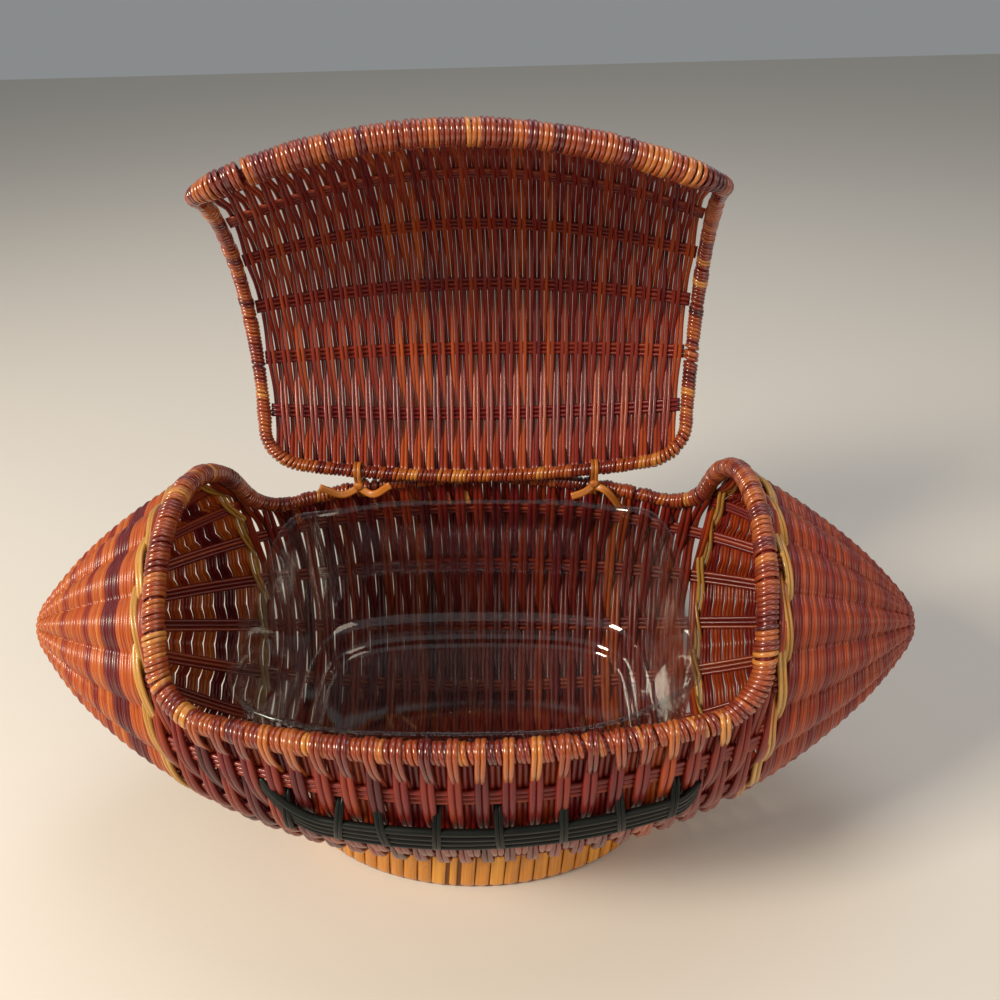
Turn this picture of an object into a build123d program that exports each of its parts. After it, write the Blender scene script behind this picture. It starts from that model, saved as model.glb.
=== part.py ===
from build123d import *
import os
from math import atan, cos, degrees, radians, sin, sqrt, tan

# A long, tapering wicker basket with rounded ends and a hinged lid, shown with the lid
# open. X runs along the basket, -Y is the front and +Z is up. The origin is on the floor,
# in the middle of the foot ring. All sizes are in millimetres.

# Woven body: a shape of revolution about a level axis
half_length = 200.0
body_radius = 100.0
nose_radius = 18.0
wall = 6.0
floor_clearance = 6.0

# Opening and lid: where their borders run on that shape, in degrees from the top
opening_half_length = 113.0
opening_front_angle = 78.0
opening_back_angle = 78.0
opening_corner = 18.0
end_lean = 0.11
lid_front_step = 7.6
lid_back_step = 7.9
lid_end_gap = 1.0
lid_corner = 16.0
lid_open_angle = 74.5

# Borders: wrapped rods of round section
rim_radius = 4.5
back_rim_radius = 3.5
lid_front_radius = 5.5
lid_side_radius = 3.5
wrap_thickness = 1.6
fit_gap = 0.6

# Lengthwise stakes inside the weave
stake_count = 18
stake_radius = 1.3
stake_fit = 0.25
lid_stake_setback = 7.5

# Twined bands of two reeds, just outside the end hoops
band_offset = 8.5
band_reed_radius = 1.6
band_fit = 0.3

# Laces along the front
lace_angle = 104.6
lace_reed_radius = 1.3
lace_reed_count = 3
lace_start = -68.0
lace_end = 90.0
strap_count = 8
strap_width = 3.2
strap_thickness = 1.0
strap_first = -62.0
strap_last = 83.0
strap_half_angle = 7.2
strap_seat = 0.6

# Foot ring: an oval hoop wound with flat cane
foot_half_length = 91.0
foot_half_width = 62.0
foot_thickness = 10.0
foot_wrap = 1.0
foot_height = 26.0
foot_seat = 0.1

# Hinge ties: a link of flat cane round the back rim and the lid's border, with a knot
tie_x = 62.0
tie_width = 4.0
tie_thickness = 1.0
tie_fit = 1.0
knot_size = 6.0
knot_depth = 3.0
tail_length = 17.0
tail_width = 3.4
tail_thickness = 0.9
tail_tilt = 3.0

# Clear liner
liner_wall = 1.0
liner_floor_height = 46.8
liner_floor_half_length = 88.0
liner_floor_half_width = 66.0
liner_step_height = 70.0
liner_step_half_length = 92.0
liner_step_half_width = 74.0
liner_top_height = 127.0
liner_top_half_length = 99.0
liner_top_half_width = 84.0
liner_end_draw = 9.0
liner_corner = 26.0

# Derived places
axis_height = floor_clearance + body_radius + wall / 2
nose_x = half_length - nose_radius
bulge_radius = (body_radius**2 + nose_x**2 - nose_radius**2) / (2 * (body_radius - nose_radius))
bulge_z = body_radius - bulge_radius
nose_x_dir = nose_x / (bulge_radius - nose_radius)
nose_z_dir = -bulge_z / (bulge_radius - nose_radius)
lean_angle = degrees(atan(end_lean))
lid_front_angle = opening_front_angle - lid_front_step
lid_back_angle = opening_back_angle - lid_back_step
lid_half_length = opening_half_length - rim_radius - lid_side_radius - lid_end_gap
stake_step = 360.0 / stake_count
far = 2 * half_length


def radius_at(x, offset=0.0):
    """Radius of the woven shape at a place along it, on the big arc."""
    return bulge_z + sqrt((bulge_radius + offset) ** 2 - x**2)


def on_shape(x, angle, offset=0.0):
    """Point on the woven shape; the angle is from the top towards the front."""
    r = radius_at(x, offset)
    return Vector(x, -r * sin(radians(angle)), axis_height + r * cos(radians(angle)))


def lift(shape):
    return Pos(0, 0, axis_height) * shape


def revolved(offset):
    """Solid of revolution that lies this far outside the middle of the weave."""
    join_x = nose_x + (nose_radius + offset) * nose_x_dir
    join_z = (nose_radius + offset) * nose_z_dir
    tip = half_length + offset
    side = nose_x + (nose_radius + offset) * cos(atan(nose_z_dir / nose_x_dir) / 2)
    rise = (nose_radius + offset) * sin(atan(nose_z_dir / nose_x_dir) / 2)
    with BuildPart() as made:
        with BuildSketch(Plane.XZ):
            with BuildLine():
                ThreePointArc((-join_x, join_z), (0, body_radius + offset), (join_x, join_z))
                ThreePointArc((join_x, join_z), (side, rise), (tip, 0))
                Line((tip, 0), (-tip, 0))
                ThreePointArc((-tip, 0), (-side, rise), (-join_x, join_z))
            make_face()
        revolve(axis=Axis.X)
    return lift(made.part)


def wedge(front, back, half_x, corner, front_shift, back_shift):
    """Block that cuts the opening or the lid out of the shape, with rounded corners.

    Its two long sides lie outside the planes of the given angles by the shifts.
    """
    outer = 1.7 * body_radius
    f_near, f_far = side_line(front, -1, front_shift, outer)
    b_near, b_far = side_line(back, 1, back_shift, outer)
    with BuildPart() as made:
        with BuildSketch(Plane.YZ):
            with BuildLine():
                Polyline(f_near, f_far, (f_far[0], outer), (b_far[0], outer), b_far, b_near, close=True)
            make_face()
        extrude(amount=far, both=True)
        with BuildSketch(Plane.XZ):
            with BuildLine():
                Polyline(
                    (-half_x + end_lean * body_radius, -body_radius),
                    (half_x - end_lean * body_radius, -body_radius),
                    (half_x + end_lean * far, far),
                    (-half_x - end_lean * far, far),
                    close=True,
                )
            make_face()
        extrude(amount=far, both=True, mode=Mode.INTERSECT)
    block = made.part
    for x_way in (-1, 1):
        for y_way, turn, shift in ((-1, front, front_shift), (1, back, back_shift)):
            block -= corner_waste(half_x, x_way, y_way, turn, shift, corner)
    return lift(block)


def side_line(angle, y_way, shift, outer):
    """Inner and outer end of a long side of the wedge, across the long axis."""
    out = Vector(y_way * sin(radians(angle)), cos(radians(angle)))
    down = Vector(y_way * cos(radians(angle)), -sin(radians(angle)))
    near = out * (0.58 * body_radius) + down * shift
    past = out * outer + down * shift
    return (near.X, near.Y), (past.X, past.Y)


def corner_waste(half_x, x_way, y_way, angle, shift, corner):
    """What a rounded corner of the wedge takes away, between its side and its end."""
    turn = radians(angle)
    side_in = Vector(0, -y_way * cos(turn), sin(turn))
    end_in = Vector(-x_way, 0, end_lean).normalized()
    edge_dir = side_in.cross(end_in)
    if edge_dir.Y * y_way < 0:
        edge_dir = -edge_dir
    to_side = corner - shift
    to_end = corner + Vector(x_way * half_x, 0, 0).dot(end_in)
    lap = side_in.dot(end_in)
    centre = side_in * ((to_side - lap * to_end) / (1 - lap**2))
    centre += end_in * ((to_end - lap * to_side) / (1 - lap**2))
    past = 2 * corner
    with BuildPart() as made:
        with BuildSketch(Plane(centre, x_dir=side_in, z_dir=edge_dir)) as sketch:
            y_side = -1 if sketch.workplanes[0].y_dir.dot(end_in) > 0 else 1
            with Locations((-past / 2, y_side * past / 2)):
                Rectangle(past, past)
            Circle(corner, mode=Mode.SUBTRACT)
        extrude(amount=2 * body_radius)
    return made.part


def beyond(x, side):
    """Half space past a leaning plane that crosses the axis at x, on one side."""
    block = Box(far, 2 * far, 2 * far, align=(Align.MIN, Align.CENTER, Align.CENTER))
    if side < 0:
        block = Rot(0, 0, 180) * block
    return Pos(side * x, 0, axis_height) * Rot(0, side * lean_angle, 0) * block


def along(radius, angle, x0, x1, offset=0.0):
    """Round rod on the big arc, at one angle, from x0 to x1."""
    path = ThreePointArc(
        on_shape(x0, angle, offset),
        on_shape((x0 + x1) / 2, angle, offset),
        on_shape(x1, angle, offset),
    )
    return sweep(Plane(path @ 0, z_dir=path % 0) * Circle(radius), path=path)


def stake_angles():
    """Angles of the stakes, measured from the top towards the front."""
    return [90.0 + i * stake_step for i in range(stake_count)]


def under_opening(angle):
    turn = (angle + 180.0) % 360.0 - 180.0
    return abs(turn) > opening_front_angle


def stakes(radius, angles):
    """Stakes from nose to nose; each stops where the big arc meets the nose."""
    end = nose_x + nose_radius * nose_x_dir
    return [along(radius, angle, -end, end) for angle in angles]


def hoop_point(half_x, angle, side):
    """Point where the leaning end plane meets the shape, at an angle."""
    x = half_x
    for _ in range(20):
        x = half_x + end_lean * radius_at(x) * cos(radians(angle))
    p = on_shape(x, angle)
    return Vector(side * p.X, p.Y, p.Z)


def border_points(half_x, front, back):
    """Corner points of a border loop, starting at the middle of the front."""
    run = half_x * 0.53
    step = 2 * run / 3
    sag = step**2 / (8 * bulge_radius)
    front_x = [-run, -run / 3, run / 3, run]
    share = [1.0, 0.66, 0.44, 0.22, 0.0]
    angles = [front * s for s in share] + [-back * s for s in share[:-1][::-1]]
    bulge = 1.0 / cos(radians(0.11 * (front + back) / 2))
    corner_bulge = 1.0 / cos(radians(0.17 * (front + back) / 2))
    right = [hoop_point(half_x, a, 1) for a in angles]
    ends = [stretch(right[0], corner_bulge), stretch(right[-1], corner_bulge)]
    right = ends[:1] + [stretch(p, bulge) for p in right[1:-1]] + ends[1:]
    left = [Vector(-p.X, p.Y, p.Z) for p in right]
    front_run = [on_shape(x, front, sag) for x in front_x]
    back_run = [on_shape(x, -back, sag) for x in front_x]
    return front_run, right, back_run, left


def stretch(p, factor):
    """Moves a point away from the long axis by a factor."""
    return Vector(p.X, p.Y * factor, axis_height + (p.Z - axis_height) * factor)


def bend_radii(points, corner_radius):
    """Largest arcs that the runs leave room for, with given radii at sharp corners."""
    turns = [
        (points[i] - points[i - 1]).get_angle(points[i + 1] - points[i])
        for i in range(1, len(points) - 1)
    ]
    runs = [(points[i + 1] - points[i]).length for i in range(len(points) - 1)]
    used = [corner_radius * tan(radians(t / 2)) if t > 60 else 0.0 for t in turns]
    radii = []
    for i, turn in enumerate(turns):
        if turn > 60:
            radii.append(corner_radius)
            continue
        before = runs[i] - (used[i - 1] if i > 0 else 0.0)
        after = runs[i + 1] - (used[i + 1] if i + 1 < len(turns) else 0.0)
        room = min(0.45 * runs[i], 0.45 * runs[i + 1], 0.95 * before, 0.95 * after)
        radii.append(room / tan(radians(turn / 2)))
    return radii


def tube(points, radius, corner_radius):
    path = FilletPolyline(*points, radius=bend_radii(points, corner_radius))
    return sweep(Plane(path @ 0, z_dir=path % 0) * Circle(radius), path=path)


def border(half_x, front, back, corner_radius, radii, names):
    """Cores and bindings of one border: front, right end, back and left end."""
    front_run, right, back_run, left = border_points(half_x, front, back)
    front_right = (front_run[-1] + right[0]) / 2
    back_right = (right[-1] + back_run[-1]) / 2
    front_left = (front_run[0] + left[0]) / 2
    back_left = (left[-1] + back_run[0]) / 2
    paths = [
        [front_left] + front_run + [front_right],
        [front_right] + right + [back_right],
        [back_left] + back_run + [back_right],
        [front_left] + left + [back_left],
    ]
    made = {}
    for name, points, radius in zip(names, paths, radii):
        core = tube(points, radius - wrap_thickness, corner_radius)
        made[name + "_core"] = core
        made[name + "_binding"] = tube(points, radius, corner_radius) - core
    return made


def tie_notch(angle, side, rod_radius):
    """Room for a tie's link round a border, in the weave beside it."""
    turn_round = Cylinder(rod_radius + tie_fit + tie_thickness + fit_gap, tie_width + 1.0)
    return Plane(on_shape(side * tie_x, angle), z_dir=(1, 0, 0)) * turn_round


def tie_link(side):
    """Link round the rim and the lid's border; the lid's border turns in it."""
    low = on_shape(side * tie_x, -opening_back_angle)
    high = on_shape(side * tie_x, -lid_back_angle)
    span = (high - low).length
    inner = max(back_rim_radius, lid_side_radius) + tie_fit
    hole = SlotCenterToCenter(span, 2 * inner)
    band = SlotCenterToCenter(span, 2 * (inner + tie_thickness)) - hole
    across = Plane((low + high) / 2, x_dir=high - low, z_dir=(1, 0, 0))
    link = extrude(across * band, amount=tie_width / 2, both=True)
    return link + tie_knot(side, high - low, inner + tie_thickness)


def tie_knot(side, up, reach):
    """Knot on the link's inner side, with a tail each way along the rim."""
    angle = -(opening_back_angle + lid_back_angle) / 2
    here = on_shape(side * tie_x, angle)
    rod_way = on_shape(side * tie_x + 1.0, angle) - on_shape(side * tie_x - 1.0, angle)
    knot = Box(knot_size, knot_depth, knot_size)
    knot = fillet(knot.edges(), knot_depth / 3)
    tail = Box(tail_width, tail_thickness, tail_length, align=(Align.CENTER, Align.CENTER, Align.MIN))
    made = knot
    for way in (-tail_tilt, 180 + tail_tilt):
        made += Rot(way, 0, 0) * tail
    return Plane(here, x_dir=up, z_dir=rod_way) * (Pos(0, reach + knot_depth / 3, 0) * made)


def foot_oval(inset, height):
    return extrude(
        Ellipse(foot_half_length - inset, foot_half_width - inset), amount=height
    )


def liner_outline(half_x, half_y, height, grow=0.0):
    """Barrel-sided outline with rounded corners, at a height."""
    end_y = half_y - liner_end_draw * half_x / liner_top_half_length
    x, y, ye = half_x + grow, half_y + grow, end_y + grow
    with BuildSketch(Plane.XY.offset(height)) as made:
        with BuildLine():
            ThreePointArc((-x, -ye), (0, -y), (x, -ye))
            Line((x, -ye), (x, ye))
            ThreePointArc((x, ye), (0, y), (-x, ye))
            Line((-x, ye), (-x, -ye))
        make_face()
        fillet(made.vertices(), liner_corner + grow)
    return made.sketch.faces()[0]


def liner_shape(grow, floor_lift, top_lift):
    levels = [
        (liner_floor_half_length, liner_floor_half_width, liner_floor_height + floor_lift),
        (liner_step_half_length, liner_step_half_width, liner_step_height),
        (liner_top_half_length, liner_top_half_width, liner_top_height + top_lift),
    ]
    faces = [liner_outline(x, y, z, grow) for x, y, z in levels]
    return loft(faces, ruled=True)


def band_ring(x, side, radial):
    """One reed of a twined band: a hoop in a leaning plane round the shape."""
    top = hoop_point(x, 0.0, side)
    bottom = hoop_point(x, 180.0, side)
    centre = (top + bottom) / 2
    radius = (top - bottom).length / 2 + radial
    tilt = Plane(centre, z_dir=(side * cos(radians(lean_angle)), 0, -sin(radians(lean_angle))))
    return tilt * Torus(radius, band_reed_radius)


def strap(x):
    """Short strap over the laces, with a leg into the weave at each end."""
    inner = radius_at(x, wall / 2)
    over = inner + 2 * lace_reed_radius + 0.9
    outer = over + strap_thickness
    start = lace_angle - strap_half_angle
    turn = 2 * strap_half_angle
    leg = degrees(strap_thickness / inner) * 1.5
    bow = arc_block(x, over, outer, start, turn)
    foot = inner + strap_seat
    low = arc_block(x, foot, outer, start, leg)
    high = arc_block(x, foot, outer, start + turn - leg, leg)
    return bow + low + high


def arc_block(x, r_in, r_out, start, turn):
    with BuildPart() as made:
        with BuildSketch(Plane.XZ):
            with Locations((x, (r_in + r_out) / 2)):
                Rectangle(strap_width, r_out - r_in)
        revolve(axis=Axis.X, revolution_arc=turn)
    return lift(Rot(start, 0, 0) * made.part)


# Woven shells
outer_shape = revolved(wall / 2)
inner_shape = revolved(-wall / 2)
shell = outer_shape - inner_shape
band_x = opening_half_length + band_offset
band_half = band_reed_radius + band_fit
opening_cut = wedge(
    opening_front_angle,
    opening_back_angle,
    opening_half_length + (rim_radius + fit_gap) / cos(radians(lean_angle)),
    opening_corner + rim_radius + fit_gap,
    rim_radius + fit_gap,
    rim_radius + fit_gap,
)
lower_stakes = stakes(stake_radius, [a for a in stake_angles() if under_opening(a)])
all_bores = stakes(stake_radius + stake_fit, stake_angles())
right_end = shell & beyond(band_x + band_half, 1)
left_end = shell & beyond(band_x + band_half, -1)
middle = shell - beyond(band_x - band_half, 1) - beyond(band_x - band_half, -1) - opening_cut

# The hinge axis runs through the middle of the lid's back border at the two ties
hinge_place = on_shape(tie_x, -lid_back_angle)
hinge_axis = Axis((0, hinge_place.Y, hinge_place.Z), (1, 0, 0))
for side in (-1, 1):
    middle -= tie_notch(-opening_back_angle, side, back_rim_radius)
for bore in all_bores:
    middle -= bore
    right_end -= bore
    left_end -= bore

# Upper stakes stop at the end hoops
hoop_edge = opening_half_length + (rim_radius + fit_gap) / cos(radians(lean_angle))
upper = stakes(stake_radius, [a for a in stake_angles() if not under_opening(a)])
right_upper = [s & beyond(hoop_edge, 1) for s in upper]
left_upper = [s & beyond(hoop_edge, -1) for s in upper]

# Opening border
opening_border = border(
    opening_half_length,
    opening_front_angle,
    opening_back_angle,
    opening_corner,
    [rim_radius, rim_radius, back_rim_radius, rim_radius],
    ["front_rim", "right_hoop", "back_rim", "left_hoop"],
)

# Twined bands
bands = {}
for name, side in (("left", -1), ("right", 1)):
    apart = stake_radius + band_reed_radius + band_fit
    reeds = [band_ring(band_x, side, radial) for radial in (-apart, apart)]
    bands[name + "_twined_band"] = reeds

# Laces
lace_step = degrees((2 * lace_reed_radius + 0.1) / radius_at(lace_end, wall / 2))
lace_offset = wall / 2 + lace_reed_radius + 0.2
lace_reeds = [
    along(
        lace_reed_radius,
        lace_angle + (i - (lace_reed_count - 1) / 2) * lace_step,
        lace_start,
        lace_end,
        lace_offset,
    )
    for i in range(lace_reed_count)
]
strap_pitch = (strap_last - strap_first) / (strap_count - 1)
straps = [strap(strap_first + i * strap_pitch) for i in range(strap_count)]

# Foot ring, cut to the underside of the weave
seat = revolved(wall / 2 + foot_seat)
foot_all = foot_oval(0, foot_height) - foot_oval(foot_thickness, foot_height)
core_ring = foot_oval(foot_wrap, foot_height) - foot_oval(foot_thickness - foot_wrap, foot_height)
foot_core_ring = core_ring - Pos(0, 0, -far / 2 + foot_wrap) * Box(far, far, far)
foot_core = foot_core_ring - seat
foot_binding = foot_all - foot_core_ring - seat

# Lid, made closed and then turned open about the hinge
lid_cut = wedge(
    lid_front_angle,
    lid_back_angle,
    lid_half_length - (lid_side_radius + fit_gap) / cos(radians(lean_angle)),
    lid_corner - lid_side_radius,
    -lid_front_radius - fit_gap,
    -lid_side_radius - fit_gap,
)
lid_shell = shell & lid_cut
lid_edge_angle = min(lid_front_angle, lid_back_angle)
lid_edge_angle -= degrees((lid_front_radius + stake_radius + stake_fit) / body_radius)
lid_stake_angles = [a for a in stake_angles() if cos(radians(a)) > cos(radians(lid_edge_angle))]
lid_stakes = []
for angle in lid_stake_angles:
    stake_end = hoop_point(lid_half_length, angle, 1).X - lid_stake_setback
    lid_stakes.append(along(stake_radius, angle, -stake_end, stake_end))
    bore_end = stake_end + stake_fit
    lid_shell -= along(stake_radius + stake_fit, angle, -bore_end, bore_end)
for side in (-1, 1):
    lid_shell -= tie_notch(-lid_back_angle, side, lid_side_radius)
lid_border = border(
    lid_half_length,
    lid_front_angle,
    lid_back_angle,
    lid_corner,
    [lid_front_radius, lid_side_radius, lid_side_radius, lid_side_radius],
    ["lid_front", "lid_right", "lid_back", "lid_left"],
)
lid_nodes = {"lid_weave": [lid_shell], "lid_stakes": lid_stakes}
for name, piece in lid_border.items():
    lid_nodes[name] = [piece]


def opened(shape):
    return shape.rotate(hinge_axis, -lid_open_angle)


tie_nodes = {
    "left_hinge_tie": [tie_link(-1)],
    "right_hinge_tie": [tie_link(1)],
}

# Liner, one thin wall with a stepped floor
liner = liner_shape(0.0, 0.0, 0.0) - liner_shape(-liner_wall, liner_wall, liner_wall)

nodes = {
    "left_end_weave": [left_end],
    "right_end_weave": [right_end],
    "middle_weave": [middle],
    "lower_stakes": lower_stakes,
    "left_upper_stakes": left_upper,
    "right_upper_stakes": right_upper,
    "lace_reeds": lace_reeds,
    "lace_straps": straps,
    "foot_ring_core": [foot_core],
    "foot_ring_winding": [foot_binding],
    "liner": [liner],
}
nodes.update(bands)
nodes.update(tie_nodes)
for name, piece in opening_border.items():
    nodes[name] = [piece]
for name, pieces in lid_nodes.items():
    nodes[name] = [opened(piece) for piece in pieces]

os.makedirs("parts", exist_ok=True)
for name, pieces in nodes.items():
    solids = [solid for piece in pieces for solid in piece.solids()]
    export_step(Compound(children=solids), f"parts/{name}.step")
print("hinge axis at y", round(hinge_place.Y, 3), "z", round(hinge_place.Z, 3))
print("bulge radius", round(bulge_radius, 2), "nodes", len(nodes))
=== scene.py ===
# A long wicker basket with a hinged lid, shown open with its clear liner inside.
# X runs along the basket, -Y is the front and +Z is up. Sizes are in metres. A turn is
# the angle round the basket, in radians from its top towards its front.
import math
import random

import bpy
import numpy as np
from mathutils import Matrix


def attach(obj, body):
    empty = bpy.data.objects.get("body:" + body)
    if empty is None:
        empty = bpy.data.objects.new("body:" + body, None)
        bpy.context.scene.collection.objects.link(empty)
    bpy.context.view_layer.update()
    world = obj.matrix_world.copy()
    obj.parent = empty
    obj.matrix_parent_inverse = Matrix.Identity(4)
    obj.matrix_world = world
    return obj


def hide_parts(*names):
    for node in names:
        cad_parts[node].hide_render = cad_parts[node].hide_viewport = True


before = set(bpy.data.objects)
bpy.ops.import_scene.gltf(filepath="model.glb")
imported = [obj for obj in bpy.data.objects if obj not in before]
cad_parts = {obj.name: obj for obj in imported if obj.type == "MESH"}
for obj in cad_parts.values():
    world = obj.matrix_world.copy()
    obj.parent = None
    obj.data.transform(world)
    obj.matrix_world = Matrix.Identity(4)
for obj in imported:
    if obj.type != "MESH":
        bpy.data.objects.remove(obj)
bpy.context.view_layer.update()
bpy.ops.object.select_all(action="DESELECT")
draw = random.Random(8)

MM = 0.001
FULL_TURN = 2 * math.pi

# The woven shape, turned about a level axis
HALF_LENGTH = 200 * MM
BODY_RADIUS = 100 * MM
NOSE_RADIUS = 18 * MM
AXIS_HEIGHT = 109 * MM
WALL = 6 * MM
END_LEAN = 0.11

# Opening and lid
OPEN_HALF = 113 * MM
OPEN_TURN = math.radians(78)
OPEN_CORNER = 18 * MM
LID_HALF = 104 * MM
LID_FRONT_TURN = math.radians(70.4)
LID_BACK_TURN = math.radians(70.1)
LID_CORNER = 16 * MM
LID_OPEN = math.radians(74.5)

# Borders: a rod with reed wrapped round it
RIM_RADIUS = 4.5 * MM
BACK_RIM_RADIUS = 3.5 * MM
LID_EDGE_RADIUS = 5.5 * MM
LID_SIDE_RADIUS = 3.5 * MM
ROD_INSET = 1.5 * MM
RIM_WRAP = 1.05 * MM
BACK_HOOK = 0.95 * MM
LID_WRAP = 1.0 * MM
WRAP_INSET = 0.8 * MM
WRAP_THICK = 0.85 * MM
WRAP_SPACING = 0.94
GROUP_GAP = 0.25 * MM
FRONT_SHARE = 0.77  # of a border's half length, where its front and back pieces end
LID_GAP_X = -82 * MM
LID_GAP_HALF = 1.6 * MM

# Stakes, weavers and the natural bands. A reed's size is half its width.
STAKE_STEP = math.radians(20)
STAKE_COUNT = round(FULL_TURN / STAKE_STEP)
FIRST_STAKE = math.radians(90)
STAKE_REED = 1.15 * MM
STAKE_REEDS = 3
WEAVER_SWING = 2.1 * MM
WEAVER_POINTS = 8
BODY_PITCH = 4.94 * MM
BODY_REED = 1.3 * MM
LID_PITCH = 3.36 * MM
LID_REED = 0.95 * MM
LID_SWING = WEAVER_SWING * 0.85
CONE_ROWS = 19
CONE_REED = 1.06 * MM
CONE_SWING = 1.7 * MM
CONE_POINTS = 10
BAND_X = 121.5 * MM
BAND_SWING = 2.2 * MM
BAND_SWAY = 1.5 * MM
BAND_REED = 0.95 * MM
BAND_REED_WIDE = 1.0 * MM

# Laces
LACE_TURN = math.radians(101)
LACE_COUNT = 4
LACE_REED = 1.6 * MM
LACE_LEFT = -77 * MM
LACE_RIGHT = 93 * MM
LACE_CURL = 25 * MM
LACE_SINK = 9 * MM
LACE_RISE = math.radians(9.5)
LACE_WAVER = 0.15 * MM

# Foot ring and hinge ties
FOOT_HALF_X = 91 * MM
FOOT_HALF_Y = 62 * MM
FOOT_THICK = 10 * MM
FOOT_EDGE = 3.4 * MM
FOOT_WRAPS = 69
FOOT_JOINT = 50
FOOT_CANE = 0.9 * MM
TIE_X = 62 * MM
TIE_REACH = LID_SIDE_RADIUS + 1.2 * MM
TIE_CANE = 0.4 * MM
TIE_CANE_WIDE = 1.0 * MM
KNOT_REACH = TIE_REACH + 1.2 * MM
KNOT_TALL = 3.1 * MM
KNOT_DEEP = 1.5 * MM

NOSE_X = HALF_LENGTH - NOSE_RADIUS
BULGE = (BODY_RADIUS**2 + NOSE_X**2 - NOSE_RADIUS**2) / (2 * (BODY_RADIUS - NOSE_RADIUS))
BULGE_Z = BODY_RADIUS - BULGE
JOIN_X = NOSE_X + NOSE_RADIUS * NOSE_X / (BULGE - NOSE_RADIUS)


def radius_at(x, off=0.0):
    """Radius of the woven shape, on its big arc or on the round nose."""
    x = np.abs(np.asarray(x, float))
    big = BULGE_Z + np.sqrt(np.maximum((BULGE + off) ** 2 - x**2, 0))
    nose = np.sqrt(np.maximum((NOSE_RADIUS + off) ** 2 - (x - NOSE_X) ** 2, 0))
    return np.where(x < JOIN_X, big, nose)


def outward(turn):
    """The way out from the basket's axis at a turn."""
    turn = np.asarray(turn, float)
    return np.stack([0 * turn, -np.sin(turn), np.cos(turn)], -1)


def shape_point(x, turn, off=0.0):
    """Point on the woven shape, or off from it."""
    x, turn, off = np.broadcast_arrays(np.asarray(x, float), turn, off)
    around = (radius_at(x) + off)[..., None] * outward(turn)
    return np.stack([x, around[..., 1], around[..., 2] + AXIS_HEIGHT], -1)


def leaned(u, turn):
    """Place along the basket of a row that leans like the end hoops, and stands upright
    in the middle and at the tips."""
    share = np.clip(np.abs(u) / OPEN_HALF, 0, 1)
    fade = np.clip((HALF_LENGTH - np.abs(u)) / (HALF_LENGTH - BAND_X), 0, 1)
    lean = np.sign(u) * END_LEAN * np.where(np.abs(u) > BAND_X, fade, share)
    return u + lean * radius_at(u) * np.cos(turn)


HINGE = shape_point(TIE_X, -LID_BACK_TURN) * np.array([0.0, 1.0, 1.0])


def opened(points, pivot=HINGE):
    """Turns points of the closed lid to where the open lid holds them."""
    c, s = math.cos(-LID_OPEN), math.sin(-LID_OPEN)
    spin = np.array([[1, 0, 0], [0, c, -s], [0, s, c]])
    return (points - pivot) @ spin.T + pivot


def unit(vectors):
    return vectors / np.maximum(np.linalg.norm(vectors, axis=-1, keepdims=True), 1e-12)


def lengths(steps):
    """Length from the start of a line to each of its points."""
    return np.concatenate([[0], np.cumsum(steps)])


def round_angles(count):
    return np.linspace(0, FULL_TURN, count, endpoint=False)


def smooth(points, steps):
    """A smooth line through points, with more points between them."""
    padded = np.vstack([2 * points[0] - points[1], points, 2 * points[-1] - points[-2]])
    p0, p1, p2, p3 = padded[:-3], padded[1:-2], padded[2:-1], padded[3:]
    parts = []
    for s in np.arange(steps) / steps:
        parts.append(0.5 * (2 * p1 + (p2 - p0) * s + (2 * p0 - 5 * p1 + 4 * p2 - p3) * s**2
                            + (3 * p1 - p0 - 3 * p2 + p3) * s**3))
    line = np.stack(parts, 1).reshape(-1, 3)
    return np.vstack([line, points[-1]])


# Strands and pieces

class Reed:
    """One strand: a path, the way it faces at each point, its half widths and its tone."""

    def __init__(self, path, out, wide, thick, tone, closed=False, sides=8):
        self.path = np.asarray(path, float)
        self.out = np.broadcast_to(out, self.path.shape)
        self.wide = wide
        self.thick = thick
        self.tone = tone
        self.closed = closed
        self.sides = sides

    def on_open_lid(self):
        self.path = opened(self.path)
        self.out = opened(self.out, np.zeros(3))
        return self


def reed_rings(reed):
    """Points round a strand, ring after ring, and how far along it each ring lies."""
    if reed.closed:
        ahead = np.roll(reed.path, -1, 0) - np.roll(reed.path, 1, 0)
    else:
        ahead = np.gradient(reed.path, axis=0)
    ahead = unit(ahead)
    side = unit(np.cross(ahead, reed.out))
    up = np.cross(side, ahead)
    turn = FULL_TURN * (np.arange(reed.sides) + 0.5) / reed.sides
    wide = np.broadcast_to(reed.wide, len(reed.path))[:, None, None]
    across = wide * np.cos(turn)[None, :, None] * side[:, None, :]
    rise = reed.thick * np.sin(turn)[None, :, None] * up[:, None, :]
    along = lengths(np.linalg.norm(np.diff(reed.path, axis=0), axis=1))
    return reed.path[:, None, :] + across + rise, along


def reed_faces(start, rings, sides, closed):
    """Faces of one strand whose first vertex has the number start."""
    ring = np.arange(rings if closed else rings - 1)
    i, j = np.meshgrid(ring, np.arange(sides), indexing="ij")
    i2, j2 = (i + 1) % rings, (j + 1) % sides
    quads = np.stack([i * sides + j, i2 * sides + j, i2 * sides + j2, i * sides + j2], -1)
    faces = (quads.reshape(-1, 4) + start).tolist()
    if not closed:
        last = start + (rings - 1) * sides
        faces.append(list(range(start, start + sides)))
        faces.append(list(range(last + sides - 1, last - 1, -1)))
    return faces


def mesh_object(name, points, faces, material):
    """A smooth-shaded object in the scene."""
    mesh = bpy.data.meshes.new(name)
    mesh.from_pydata(points.tolist(), [], faces)
    mesh.polygons.foreach_set("use_smooth", [True] * len(mesh.polygons))
    mesh.materials.append(material)
    made = bpy.data.objects.new(name, mesh)
    bpy.context.scene.collection.objects.link(made)
    return made


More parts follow.
